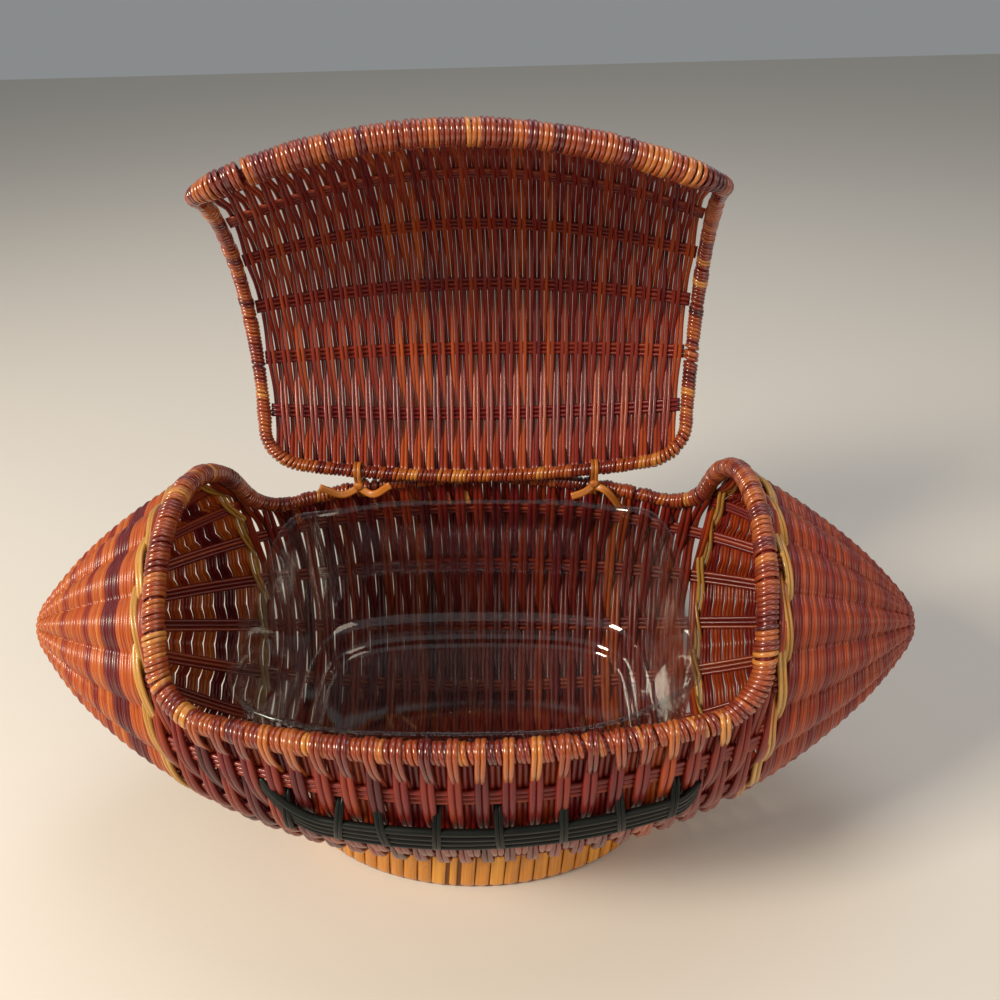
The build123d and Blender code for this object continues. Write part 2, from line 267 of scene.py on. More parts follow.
def finish_piece(piece, body, slot, *nodes):
    """Lets a piece ride on a body and stand for CAD nodes. Its slot is not used."""
    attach(piece, body)
    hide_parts(*nodes)


def make_piece(name, reeds, material, body, slot, *nodes):
    """One object from many strands. Each point's mark holds its place along the strand,
    its place round it and the strand's tone, for the material."""
    points, faces, marks, count = [], [], [], 0
    for reed in reeds:
        rings, along = reed_rings(reed)
        mark = np.zeros(rings.shape)
        mark[..., 0] = along[:, None]
        mark[..., 1] = np.arange(reed.sides) / reed.sides
        mark[..., 2] = reed.tone
        faces += reed_faces(count, len(rings), reed.sides, reed.closed)
        points.append(rings.reshape(-1, 3))
        marks.append(mark.reshape(-1, 3))
        count += len(points[-1])
    piece = mesh_object(name, np.concatenate(points), faces, material)
    reed_mark = piece.data.attributes.new("reed", "FLOAT_VECTOR", "POINT")
    reed_mark.data.foreach_set("vector", np.concatenate(marks).astype(np.float32).ravel())
    finish_piece(piece, body, slot, *nodes)


# Materials

STREAKS_PER_METRE = 60
TONE_SHIFT = 97  # gives each reed its own part of the noise
FIBRE_STRETCH = (0.35, 14, 1)


def linear(code):
    """Linear colour of an sRGB hex value."""
    parts = [int(code[i : i + 2], 16) / 255 for i in (1, 3, 5)]
    return [c / 12.92 if c <= 0.04045 else ((c + 0.055) / 1.055) ** 2.4 for c in parts] + [1]


def new_material(name):
    material = bpy.data.materials.new(name)
    material.use_nodes = True
    tree = material.node_tree
    tree.nodes.clear()
    return material, tree


def add(tree, kind, settings=None, links=None, **values):
    """Adds a node with its settings, its socket values and the links into it."""
    node = tree.nodes.new(kind)
    for key, value in (settings or {}).items():
        setattr(node, key, value)
    for key, value in values.items():
        node.inputs[key.replace("_", " ")].default_value = value
    for key, source in (links or {}).items():
        tree.links.new(source, node.inputs[key])
    return node


def maths(tree, operation, source, *numbers, clamp=False):
    """Result of a sum on one socket and some numbers or sockets."""
    node = add(tree, "ShaderNodeMath", {"operation": operation, "use_clamp": clamp}, {0: source})
    for socket, number in zip(node.inputs[1:], numbers):
        if isinstance(number, bpy.types.NodeSocket):
            tree.links.new(number, socket)
        else:
            socket.default_value = number
    return node.outputs[0]


def ramp(tree, source, stops):
    """Colour that follows a value through stops of (place, colour)."""
    node = add(tree, "ShaderNodeValToRGB", links={"Fac": source})
    points = node.color_ramp.elements
    while len(points) < len(stops):
        points.new(0.5)
    for point, (place, code) in zip(points, stops):
        point.position = place
        point.color = linear(code)
    return node.outputs["Color"]


def reed_material(name, stops, roughness, coat, grain=0.35, streak=0.16, ior=1.5):
    """Rattan reed: fine lengthwise fibres, stain that pools in streaks, varnish over it."""
    material, tree = new_material(name)
    mark = add(tree, "ShaderNodeAttribute", {"attribute_name": "reed"})
    parts = add(tree, "ShaderNodeSeparateXYZ", links={"Vector": mark.outputs["Vector"]}).outputs
    along = maths(tree, "MULTIPLY", parts["X"], STREAKS_PER_METRE)
    shift = maths(tree, "MULTIPLY", parts["Z"], TONE_SHIFT)
    place = add(tree, "ShaderNodeCombineXYZ", links={"X": along, "Y": parts["Y"], "Z": shift})
    stain = add(tree, "ShaderNodeTexNoise", links={"Vector": place.outputs[0]},
                Scale=1.0, Detail=3.0).outputs["Fac"]
    offset = maths(tree, "MULTIPLY_ADD", stain, streak * 2, -streak)
    colour = ramp(tree, maths(tree, "ADD", parts["Z"], offset, clamp=True), stops)
    fibre_place = add(tree, "ShaderNodeVectorMath", {"operation": "MULTIPLY"},
                      {0: place.outputs[0]})
    fibre_place.inputs[1].default_value = FIBRE_STRETCH
    fibre = add(tree, "ShaderNodeTexNoise", links={"Vector": fibre_place.outputs[0]},
                Scale=1.0, Detail=2.0).outputs["Fac"]
    dark = add(tree, "ShaderNodeMapRange", links={"Value": fibre},
               From_Min=0.3, From_Max=0.7, To_Min=0.72, To_Max=1.08)
    shaded = add(tree, "ShaderNodeVectorMath", {"operation": "SCALE"},
                 {0: colour, "Scale": dark.outputs[0]})
    bump = add(tree, "ShaderNodeBump", links={"Height": fibre}, Strength=grain, Distance=0.0002)
    shine = add(tree, "ShaderNodeMapRange", links={"Value": stain},
                From_Min=0.3, From_Max=0.7, To_Min=roughness - 0.06, To_Max=roughness + 0.1)
    shader = add(tree, "ShaderNodeBsdfPrincipled",
                 links={"Base Color": shaded.outputs[0], "Normal": bump.outputs[0],
                        "Roughness": shine.outputs[0]},
                 Coat_Weight=coat, Coat_Roughness=0.12, IOR=ior)
    add(tree, "ShaderNodeOutputMaterial", links={"Surface": shader.outputs[0]})
    return material


def clear_material():
    """Vacuum-formed PET sheet: clear, thin enough not to bend the view, and glossy where
    it is seen edge-on."""
    material, tree = new_material("clear_formed_pet")
    through = add(tree, "ShaderNodeBsdfTransparent", Color=linear("#f3f6f5"))
    gloss = add(tree, "ShaderNodeBsdfGlossy", Color=linear("#ffffff"), Roughness=0.05)
    facing = add(tree, "ShaderNodeLayerWeight", Blend=0.5)
    steep = maths(tree, "POWER", facing.outputs["Facing"], 3)
    share = maths(tree, "MULTIPLY_ADD", steep, 0.75, 0.05)
    mix = add(tree, "ShaderNodeMixShader",
              links={"Fac": share, 1: through.outputs[0], 2: gloss.outputs[0]})
    add(tree, "ShaderNodeOutputMaterial", links={"Surface": mix.outputs[0]})
    return material


def plain_material(name, code, roughness):
    material, tree = new_material(name)
    shader = add(tree, "ShaderNodeBsdfPrincipled", Base_Color=linear(code), Roughness=roughness)
    add(tree, "ShaderNodeOutputMaterial", links={"Surface": shader.outputs[0]})
    return material


# Red and orange stained reed under a gloss varnish, as the woven walls are
woven = reed_material(
    "stained_varnished_rattan",
    [(0.0, "#4a0e12"), (0.25, "#701719"), (0.5, "#8a2a14"), (0.75, "#ae4a16"), (1.0, "#c8762c")],
    roughness=0.36, coat=0.22, ior=1.42,
)
# The borders' reed has more varnish, which pools between its turns
bound = reed_material(
    "glossy_bound_rattan",
    [(0.0, "#45120f"), (0.3, "#6f211b"), (0.6, "#9c431a"), (0.85, "#b8652a"), (1.0, "#cf8a3c")],
    roughness=0.26, coat=0.8,
)
# Uncoloured reed goes golden under the same varnish
natural = reed_material(
    "natural_varnished_rattan",
    [(0.0, "#8a5a1e"), (0.5, "#bd8734"), (1.0, "#d7a552")],
    roughness=0.34, coat=0.5,
)
# Reed dyed black, with a green cast where the gloss catches
black = reed_material(
    "black_dyed_rattan",
    [(0.0, "#050606"), (0.6, "#0b0e0d"), (1.0, "#171d1b")],
    roughness=0.4, coat=0.03, ior=1.3,
)
# Flat cane peel: hard, yellow and shiny, with fine lines along it
foot_cane = reed_material(
    "yellow_flat_cane",
    [(0.0, "#bf7414"), (0.5, "#dc8d1a"), (1.0, "#eaa733")],
    roughness=0.3, coat=0.4, grain=0.15, streak=0.08,
)
# The ties' cane is duller and browner
tie_cane = reed_material(
    "tan_flat_cane",
    [(0.0, "#95501a"), (0.5, "#c07024"), (1.0, "#d48f3c")],
    roughness=0.42, coat=0.2,
)
clear = clear_material()


# Weaving

def wave(turn, flip):
    """+1 where a weaver passes outside a stake, -1 where it passes inside."""
    return flip * np.cos(math.pi * (np.asarray(turn) - FIRST_STAKE) / STAKE_STEP)


def weaver(u, side, start, end, flip, reed, swing, tone, closed=False):
    """One reed of a pair in a hoop that leans with its row. The pair is squeezed where it
    passes between its neighbours and spreads over the stakes."""
    count = max(12, int(abs(end - start) / STAKE_STEP * WEAVER_POINTS))
    turns = np.linspace(start, end, count, endpoint=not closed)
    bow = wave(turns, flip)
    spread = 0.9 + 0.14 * bow**2
    x = leaned(u + side * reed * spread, turns)
    path = shape_point(x, turns, swing * bow)
    return Reed(path, outward(turns), reed * 1.1 * spread, reed, tone, closed)


def corner_cut(u, half, corner):
    """How far round the shape a rounded corner of the opening or lid reaches at u."""
    past = np.maximum(np.abs(u) - (half - corner), 0)
    past = np.minimum(past, corner)
    return (corner - np.sqrt(corner**2 - past**2)) / radius_at(half)


def body_weavers():
    """Pairs of reed across the middle, from one edge of the opening to the other, and a
    closed pair beyond each end hoop."""
    reeds = []
    rows = int(2 * (OPEN_HALF + 1 * MM) / BODY_PITCH) | 1
    for row in range(rows):
        u = (row - (rows - 1) / 2) * BODY_PITCH
        flip = 1 if row % 2 else -1
        edge = OPEN_TURN + 1.5 * MM / BODY_RADIUS - corner_cut(u, OPEN_HALF, OPEN_CORNER)
        tone = draw.gauss(0.26 if flip > 0 else 0.42, 0.14) + 0.10 * u / OPEN_HALF
        tone = np.clip(tone, 0.02, 0.95)
        for side in (-1, 1):
            shade = np.clip(tone + draw.gauss(0, 0.07), 0, 1)
            reeds.append(weaver(u, side, edge, FULL_TURN - edge, flip, BODY_REED,
                                WEAVER_SWING, shade))
    for side in (-1, 1):
        place = side * (OPEN_HALF + RIM_RADIUS + 1.2 * MM)
        for step in (0, 1):
            reeds.append(weaver(place, step, 0, FULL_TURN, 1, BODY_REED, WEAVER_SWING,
                                draw.uniform(0.4, 0.7), True))
    return reeds


def cone_band(u, k, pitch, swing, tone):
    """One reed of a band in the curved ends, where all bands rise over the same stakes
    and meet in a crease between them. The middle reed, k of 0, stands out a little."""
    turns = round_angles(STAKE_COUNT * CONE_POINTS)
    rise = 2 * np.abs(wave(turns, 1)) - 1
    x = leaned(u + k * pitch * (0.3 + 0.02 * rise), turns)
    lift = swing * rise + (0.45 * MM if k == 0 else 0)
    return Reed(shape_point(x, turns, lift), outward(turns), CONE_REED, CONE_REED * 0.9, tone, True)


def cone_rows(side):
    """Rows from the natural band to the tip, evenly spaced over the curved end."""
    x = np.concatenate([np.linspace(BAND_X + 4.5 * MM, JOIN_X, 200),
                        np.linspace(JOIN_X, HALF_LENGTH - 0.3 * MM, 60)])
    length = lengths(np.hypot(np.diff(x), np.diff(radius_at(x))))
    return side * np.interp(np.linspace(0, length[-1], CONE_ROWS), length, x)


def cone_tone(row, side):
    """The left end has one wide dark stripe and two narrow ones, the right end a dark
    row in every four."""
    if side < 0:
        return 0.14 if row in (2, 3) else 0.5 if row in (6, 10) else 0.8
    return 0.58 if row % 4 else 0.36


def cone_weavers(side):
    reeds = []
    rows = cone_rows(side)
    for row, u in enumerate(rows[:-1]):
        pitch = abs(rows[row + 1] - u)
        small = min(1.0, float(radius_at(u)) / (34 * MM))
        swing = CONE_SWING * (0.15 + 0.85 * small)
        for k in (-1, 0, 1):
            tone = np.clip(cone_tone(row, side) + draw.gauss(0, 0.05), 0, 1)
            reeds.append(cone_band(u, k * side, pitch, swing, tone))
    return reeds


def stake_turns():
    return [FIRST_STAKE + i * STAKE_STEP for i in range(STAKE_COUNT)]


def is_upper(turn):
    """Whether a stake would cross the opening, so that it stops at the end hoops."""
    return math.cos(turn) > math.cos(OPEN_TURN)


def stake_bundle(turn, start, end):
    """Thin reeds laid side by side along one stake's line, closer near the tips."""
    reeds = []
    x = np.linspace(start, end, max(12, int(abs(end - start) / (5 * MM))))
    room = np.minimum(1.0, radius_at(x) / (42 * MM))
    for k in range(STAKE_REEDS):
        own = turn + (k - (STAKE_REEDS - 1) / 2) * 2 * STAKE_REED * room / radius_at(x)
        reeds.append(Reed(shape_point(x, own), outward(own), STAKE_REED, STAKE_REED,
                          draw.uniform(0.25, 0.6)))
    return reeds


def lower_stakes():
    tip = JOIN_X + 1 * MM
    return [reed for turn in stake_turns() if not is_upper(turn)
            for reed in stake_bundle(turn, -tip, tip)]


def upper_stakes(side):
    """Stakes of one end's upper half, from its leaning hoop to the tip."""
    reeds = []
    for turn in stake_turns():
        if is_upper(turn):
            lean = END_LEAN * BODY_RADIUS * 0.8 * math.cos(turn)
            start = OPEN_HALF + RIM_RADIUS + lean
            reeds += stake_bundle(turn, side * start, side * (JOIN_X + 1 * MM))
    return reeds


def twined_band(side):
    """Two pairs of natural reed that cross between the stakes."""
    reeds = []
    turns = round_angles(STAKE_COUNT * WEAVER_POINTS)
    phase = math.pi * (turns - FIRST_STAKE) / STAKE_STEP
    for way in (-1, 1):
        for pair in (-1, 1):
            u = side * BAND_X + way * BAND_SWAY * np.sin(phase) + pair * BAND_REED
            off = way * BAND_SWING * np.cos(phase) + 0.5 * MM
            reeds.append(Reed(shape_point(leaned(u, turns), turns, off), outward(turns),
                              BAND_REED_WIDE, BAND_REED, draw.uniform(0.35, 0.8), True))
    return reeds


def lid_weavers():
    reeds = []
    rows = int(2 * (LID_HALF - LID_SIDE_RADIUS) / LID_PITCH) | 1
    for row in range(rows):
        u = (row - (rows - 1) / 2) * LID_PITCH
        flip = 1 if row % 2 else -1
        cut = corner_cut(u, LID_HALF, LID_CORNER)
        tone = draw.gauss(0.42 if flip > 0 else 0.55, 0.12)
        for side in (-1, 1):
            shade = np.clip(tone + draw.gauss(0, 0.08), 0.1, 1)
            reed = weaver(u, side, LID_FRONT_TURN - cut, cut - LID_BACK_TURN, flip, LID_REED,
                          LID_SWING, shade)
            reeds.append(reed.on_open_lid())
    return reeds


def lid_stakes():
    reeds = []
    for turn in stake_turns():
        signed = math.atan2(math.sin(turn), math.cos(turn))
        if abs(signed) < LID_BACK_TURN - math.radians(5):
            reach = leaned(LID_HALF - LID_SIDE_RADIUS, signed)
            reeds += [reed.on_open_lid() for reed in stake_bundle(signed, -reach, reach)]
    return reeds


# Borders

def border_loop(half, front, back, corner):
    """Middle line of a border as (place along, turn), rounded at its four corners."""
    r = float(radius_at(half))
    quarter = np.linspace(0, math.pi / 2, 24)
    right, left = half - corner, corner - half
    fore, aft = front * r - corner, corner - back * r
    u, v = [], []
    for cu, cv, start in ((right, fore, math.pi / 2), (right, aft, 0),
                          (left, aft, -math.pi / 2), (left, fore, math.pi)):
        u.append(cu + corner * np.cos(start - quarter))
        v.append(cv + corner * np.sin(start - quarter))
    u, v = np.concatenate(u), np.concatenate(v)
    u, v = np.append(u, u[0]), np.append(v, v[0])
    length = lengths(np.hypot(np.diff(u), np.diff(v)))
    even = np.arange(0, length[-1], 1 * MM)
    u, turn = np.interp(even, length, u), np.interp(even, length, v) / r
    return leaned(u, turn), turn


def side_of(x, turn, reach, front):
    """Which side of a border a place is on, where front and back reach that far."""
    if abs(x) < reach and abs(turn) > 0.8 * front:
        return "front" if turn > 0 else "back"
    return "right" if x > 0 else "left"


def run_of(sides, name):
    """Numbers of one side's points, in their order along the border."""
    own = [i for i, side in enumerate(sides) if side == name]
    for k in range(1, len(own)):
        if own[k] != own[k - 1] + 1:
            return own[k:] + own[:k]
    return own


class Border:
    """A border's closed middle line, its directions at each point and its four sides."""

    def __init__(self, half, front, back, corner, radii):
        self.front = front
        self.radii = radii
        self.x, self.turn = border_loop(half, front, back, corner)
        self.middle = shape_point(self.x, self.turn)
        self.out = outward(self.turn)
        self.ahead = unit(np.roll(self.middle, -1, 0) - np.roll(self.middle, 1, 0))
        self.sides = self.sides_within(FRONT_SHARE * half)
        self.radius = np.array([radii[side] for side in self.sides_within(half - 5 * MM)])
        for _ in range(3):
            self.radius = sum(np.roll(self.radius, k) for k in range(-6, 7)) / 13

    def sides_within(self, reach):
        """Side of each point, where the front and back sides reach that far."""
        return [side_of(x, turn, reach, self.front) for x, turn in zip(self.x, self.turn)]

    def rods(self):
        """The rod of each side, as a list by side."""
        rods = {}
        for name, radius in self.radii.items():
            own = run_of(self.sides, name)
            thick = radius - ROD_INSET
            rods[name] = [Reed(self.middle[own], self.out[own], thick, thick, 0.3, sides=10)]
        return rods

    def wraps(self, wrap, gap_x=None):
        """Turns of reed round the rods, by side. They come in groups of two or three of one
        colour, and gap_x is the place along the front where a turn or two are missing."""
        wraps = {name: [] for name in self.radii}
        length = lengths(np.linalg.norm(np.roll(self.middle, -1, 0) - self.middle, axis=1))
        place, group = 0.0, 0
        while place < length[-1]:
            i = int(np.searchsorted(length, place)) % len(self.middle)
            if group == 0:
                group = draw.choice((2, 2, 3))
                tone = np.clip(draw.gauss(0.58, 0.2), 0.05, 0.98)
                bump = draw.uniform(-0.2, 0.35) * MM
                place += GROUP_GAP
            group -= 1
            twist = draw.uniform(-0.4, 0.4)
            in_gap = gap_x is not None and abs(self.x[i] - gap_x) < LID_GAP_HALF
            if not (in_gap and self.turn[i] > 0):
                shade = np.clip(tone + draw.gauss(0, 0.05), 0, 1)
                wraps[self.sides[i]].append(self.wrap_turn(i, wrap, bump, twist, shade))
            place += 2 * wrap * WRAP_SPACING
        return wraps

    def wrap_turn(self, i, wrap, bump, twist, tone):
        """One slanted turn of reed round the border's point i."""
        around = round_angles(14)
        ahead = self.ahead[i]
        up = unit(self.out[i] - ahead * (ahead @ self.out[i]))
        ring = np.cos(around)[:, None] * up + np.sin(around)[:, None] * np.cross(ahead, up)
        slant = wrap * 0.9 * np.sin(around + twist)[:, None] * ahead
        path = self.middle[i] + (self.radius[i] - WRAP_INSET + bump) * ring + slant
        return Reed(path, ring, wrap, WRAP_THICK, tone, True)


# Places across a border where a hook lies: outward from its rod's middle, and along the
# wall towards the border, in millimetres for a border of RIM_RADIUS
HOOK = [(-2.2, -22), (-1.4, -18), (0.3, -14), (2.4, -10), (3.9, -6.4), (4.5, -3), (4.5, 0),
        (4.0, 2.3), (2.5, 3.9), (0.3, 4.6), (-2.0, 4.1), (-3.8, 2.5), (-4.4, 0.4), (-4.0, -2.2)]
HOOK_LENGTH = 22


def hooks(turn, radius, reed):
    """Pairs of reed that come out of the wall, run up it and go over the border."""
    reeds = []
    way = 1 if turn > 0 else -1
    out_way = outward(turn)
    wall_way = np.array([0, way * math.cos(turn), abs(math.sin(turn))])
    scale = radius / RIM_RADIUS * MM
    pitch = 2 * BODY_PITCH
    count = int(2 * (OPEN_HALF * 0.9) / pitch)
    for k in range(count + 1):
        u = (k - count / 2) * pitch
        slant = (draw.uniform(2.5, 5) if u < 0 else draw.uniform(-2, 2)) * MM
        tone = np.clip(draw.gauss(0.55, 0.2), 0.1, 0.95)
        for side in (-1, 1):
            line, face = [], []
            for a, b in HOOK:
                low = np.clip(-b / HOOK_LENGTH, 0, 1)
                x = u + side * reed * (1 - 0.25 * low) + slant * low
                here = turn - way * b * scale / BODY_RADIUS
                line.append(shape_point(leaned(x, turn), here, a * scale))
                near = max(0.0, 1 - max(0.0, -b - 2) / 8)
                over = out_way * a + wall_way * b
                face.append(unit(out_way * (1 - near) * 4 + over * near))
            reeds.append(Reed(smooth(np.array(line), 3), unit(smooth(np.array(face), 3)),
                              reed, reed * 0.85, tone))
    return reeds


# Laces

def lace_reeds():
    """Black reeds along the front. They curve up out of the weave at their left end and
    go straight into it at their right end."""
    reeds = []
    x = np.linspace(LACE_LEFT, LACE_RIGHT, 80)
    curl = np.clip((LACE_LEFT + LACE_CURL - x) / LACE_CURL, 0, 1) ** 1.6
    sink = np.clip((x - LACE_RIGHT + LACE_SINK) / LACE_SINK, 0, 1)
    for k in range(LACE_COUNT):
        fan = (k - (LACE_COUNT - 1) / 2) * 2 * LACE_REED / BODY_RADIUS
        turn = LACE_TURN + fan * (1 - 0.7 * curl) - LACE_RISE * curl
        turn = turn + LACE_WAVER / BODY_RADIUS * np.sin(x * 90 + k)
        off = WALL / 2 + LACE_REED * (1.2 - 3.4 * np.maximum(curl**2, sink**2))
        reeds.append(Reed(shape_point(x, turn, off), outward(turn), LACE_REED, LACE_REED,
                          draw.uniform(0.3, 0.9)))
    return reeds


# Places of the stitches along the basket, and points of one stitch as (round the basket
# from the laces' middle, out from the weave's middle), all in millimetres
STITCH_X = (-66, -46, -28, -8, 16, 40, 62, 82)
STITCH_LINE = [(-15, -1.5), (-13, 1.5), (-10, 3.6), (-7, 5.4), (-3, 6.3), (1, 6.4), (5, 6.0),
               (8, 4.6), (11, 3.2), (13.5, 1.2), (15, -1.5)]


def lace_straps():
    """Two reeds for each stitch over the laces."""
    reeds = []
    for place in STITCH_X:
        lean = draw.uniform(-2.5, 2.5)
        for half in (-1, 1):
            line = [shape_point((place + lean * a / 15 + half * 0.8) * MM,
                                LACE_TURN + a * MM / BODY_RADIUS, b * MM) for a, b in STITCH_LINE]
            reeds.append(Reed(smooth(np.array(line), 3), outward(LACE_TURN), 0.95 * MM, 0.7 * MM,
                              draw.uniform(0.3, 1.0)))
    return reeds


# Foot ring and hinge ties

def underside(x, y):
    """Height of the weave's underside above the floor."""
    return AXIS_HEIGHT - np.sqrt(np.maximum((radius_at(x) + WALL / 2) ** 2 - y**2, 0))


def foot_wraps():
    """Turns of flat cane round the foot ring, each slightly slanted. They go up into the
    weave on both sides, and FOOT_JOINT is a narrow turn where the cane ends."""
    reeds = []
    half = FOOT_THICK / 2
    side = half - 0.5 * MM
    a, b = FOOT_HALF_X - half, FOOT_HALF_Y - half
    fine = np.linspace(0, FULL_TURN, 2000)
    length = lengths(np.hypot(np.diff(a * np.cos(fine)), np.diff(b * np.sin(fine))))
    wrap = length[-1] / FOOT_WRAPS
    bend = np.linspace(0, math.pi / 2, 4)
    up = np.array([0, 0, 1])
    for k in range(FOOT_WRAPS):
        turn = np.interp((k + 0.5) * wrap, length, fine)
        middle = np.array([a * math.cos(turn), b * math.sin(turn), 0])
        ahead = unit(np.array([-a * math.sin(turn), b * math.cos(turn), 0]))
        out = np.array([ahead[1], -ahead[0], 0])
        line, face = [], []
        for way in (1, -1):
            foot = middle + way * out * half
            top = float(underside(foot[0], foot[1])) + 1.2 * MM
            part = [(way * side, height)
                    for height in np.linspace(top, FOOT_CANE + FOOT_EDGE + 0.05 * MM, 5)]
            part += [(way * (side - FOOT_EDGE * (1 - math.cos(t))),
                      FOOT_CANE + FOOT_EDGE * (1 - math.sin(t))) for t in bend]
            facing = [way * out] * 5
            facing += [way * out * math.cos(t) - up * math.sin(t) for t in bend]
            line += part[::way]
            face += facing[::way]
        lean = draw.uniform(1.8, 3.0) * MM
        tall = line[0][1]
        path = [middle + out * across + up * height + ahead * lean * (height / tall - 0.5)
                for across, height in line]
        tone = np.clip(draw.gauss(0.5, 0.16), 0.05, 1)
        share = 0.55 if k == FOOT_JOINT else 1.02
        reeds.append(Reed(path, face, wrap / 2 * share, FOOT_CANE, tone, True))
    return reeds


# Tails of each tie: how far along the basket and how far up they reach, in millimetres
TAILS = {-1: [(-19, 6), (18, 7)], 1: [(-12, -3), (15, -14)]}


def tie(side):
    """Turns of flat cane round the rim and the lid's border, knotted on the inner side,
    with two tails."""
    reeds = []
    low = shape_point(side * TIE_X, -OPEN_TURN)
    high = shape_point(side * TIE_X, -LID_BACK_TURN)
    up = unit(high - low)
    inner = -outward(-(OPEN_TURN + LID_BACK_TURN) / 2)
    along = np.array([1.0, 0, 0])
    half_turn = np.linspace(-math.pi / 2, math.pi / 2, 9)
    for k in (-1, 1):
        path, out = [], []
        for centre, way in ((high, 1), (low, -1)):
            for t in half_turn:
                face = way * (up * math.cos(t) - inner * math.sin(t))
                path.append(centre + TIE_REACH * face + along * k * TIE_CANE_WIDE)
                out.append(face)
        reeds.append(Reed(path, out, TIE_CANE_WIDE, TIE_CANE, 0.4 + 0.2 * k, True))
    knot = (low + high) / 2 + inner * KNOT_REACH
    ring = round_angles(14)
    for k in (-1, 0, 1):
        tilt = unit(up + along * 0.5 * k)
        loop = [knot + KNOT_TALL * math.cos(t) * tilt + KNOT_DEEP * math.sin(t) * inner
                for t in ring]
        face = [unit(math.cos(t) * tilt * 1.5 + math.sin(t) * inner * 3) for t in ring]
        reeds.append(Reed(loop, face, 1.3 * MM, TIE_CANE, 0.5 + 0.12 * k, True))
    for reach_x, reach_up in TAILS[side]:
        mid = knot + (along * reach_x * 0.45 - up * 1.5 + inner * 3.6) * MM
        end = knot + (along * reach_x + up * reach_up + inner * 5.2) * MM
        reeds.append(Reed(smooth(np.array([knot, mid, end]), 8), unit(inner + up), 2.0 * MM,
                          0.45 * MM, 0.6))
    return reeds


# Liner

LINER = [  # half length, half width and height of its rings, in millimetres
    (30, 16, 49.6), (66, 42, 49.2), (74.5, 50, 49.0), (77, 52.5, 49.8), (78, 53.5, 52),
    (79, 54.5, 54.6), (81.5, 57, 55.6), (86, 63, 55.8), (88.5, 66.5, 57.2), (89.8, 68.6, 61),
    (91.8, 74, 72), (94.5, 78, 92), (96, 80, 110), (96.6, 80.8, 121), (97.2, 81.4, 124.8),
    (98.6, 82.8, 126.2), (99.4, 83.4, 126.6), (99.7, 83.7, 125.6),
]
LINER_POINTS = 144
LINER_SHEET = 0.6 * MM
LINER_SQUARENESS = 5
LINER_BARREL = 0.09  # share by which the long sides draw in at their ends
# The liner's edge waves above this height, and the waves grow over this much of height
EDGE_FROM = 110
EDGE_GROWTH = 17
# Arcs that the edge rises in: place round the liner from its right end and half width,
# both in radians, and height. The first, at the back left, is crumpled.
EDGE_ARCS = [(2.5, 0.32, 4.5), (0.75, 0.3, 4), (5.4, 0.4, 7)]
EDGE_SWAY = 0.8
EDGE_DROP = 1.5
EDGE_BACK_PULL = 2.5
CRUMPLE_FOLDS = 60


def liner_ring(half_x, half_y, z):
    """Rounded, barrel-sided outline of the liner at one level, with its waved edge."""
    t = round_angles(LINER_POINTS)
    c, s = np.cos(t), np.sin(t)
    x = half_x * np.sign(c) * np.abs(c) ** (2 / LINER_SQUARENESS)
    y = half_y * np.sign(s) * np.abs(s) ** (2 / LINER_SQUARENESS)
    y = y * (1 - LINER_BARREL * (x / half_x) ** 2)
    high = np.clip((z - EDGE_FROM) / EDGE_GROWTH, 0, 1) ** 2
    arcs = [np.exp(-((t - place) / width) ** 2) for place, width, _ in EDGE_ARCS]
    lift = sum(tall * arc for arc, (_, _, tall) in zip(arcs, EDGE_ARCS))
    lift = lift + EDGE_SWAY * np.sin(5 * t) - EDGE_DROP
    x = x + arcs[0] * high * np.sin(t * CRUMPLE_FOLDS)
    y = y - high * EDGE_BACK_PULL * np.clip(s, 0, 1)
    return np.stack([x, y, z + lift * high], -1) * MM


def make_liner():
    middle = np.array([[0, 0, LINER[0][2] * MM]])
    points = np.vstack([middle] + [liner_ring(*level) for level in LINER])
    pairs = [(j, (j + 1) % LINER_POINTS) for j in range(LINER_POINTS)]
    faces = [[0, 1 + j, 1 + k] for j, k in pairs]
    for level in range(len(LINER) - 1):
        low = 1 + level * LINER_POINTS
        high = low + LINER_POINTS
        faces += [[low + j, high + j, high + k, low + k] for j, k in pairs]
    piece = mesh_object("clear_tray", points, faces, clear)
    bpy.context.view_layer.objects.active = piece
    piece.select_set(True)
    thick = piece.modifiers.new("sheet", "SOLIDIFY")
    thick.thickness = LINER_SHEET
    thick.offset = 0
    bpy.ops.object.modifier_apply(modifier=thick.name)
    piece.select_set(False)
    finish_piece(piece, "liner", "clear_liner", "liner")


# Pieces of the basket

make_piece("body_weavers", body_weavers(), woven, "basket", "reed_weave", "middle_weave")
make_piece("left_end_weavers", cone_weavers(-1), woven, "basket", "reed_weave", "left_end_weave")
make_piece("right_end_weavers", cone_weavers(1), woven, "basket", "reed_weave", "right_end_weave")
make_piece("lower_stake_reeds", lower_stakes(), woven, "basket", "stake_reed", "lower_stakes")
for name, side in (("left", -1), ("right", 1)):
    make_piece(name + "_upper_stake_reeds", upper_stakes(side), woven, "basket", "stake_reed",
               name + "_upper_stakes")
    make_piece(name + "_natural_band", twined_band(side), natural, "basket", "natural_reed",
               name + "_twined_band")
    make_piece(name + "_cane_tie", tie(side), tie_cane, "basket", "tie_cane",
               name + "_hinge_tie")

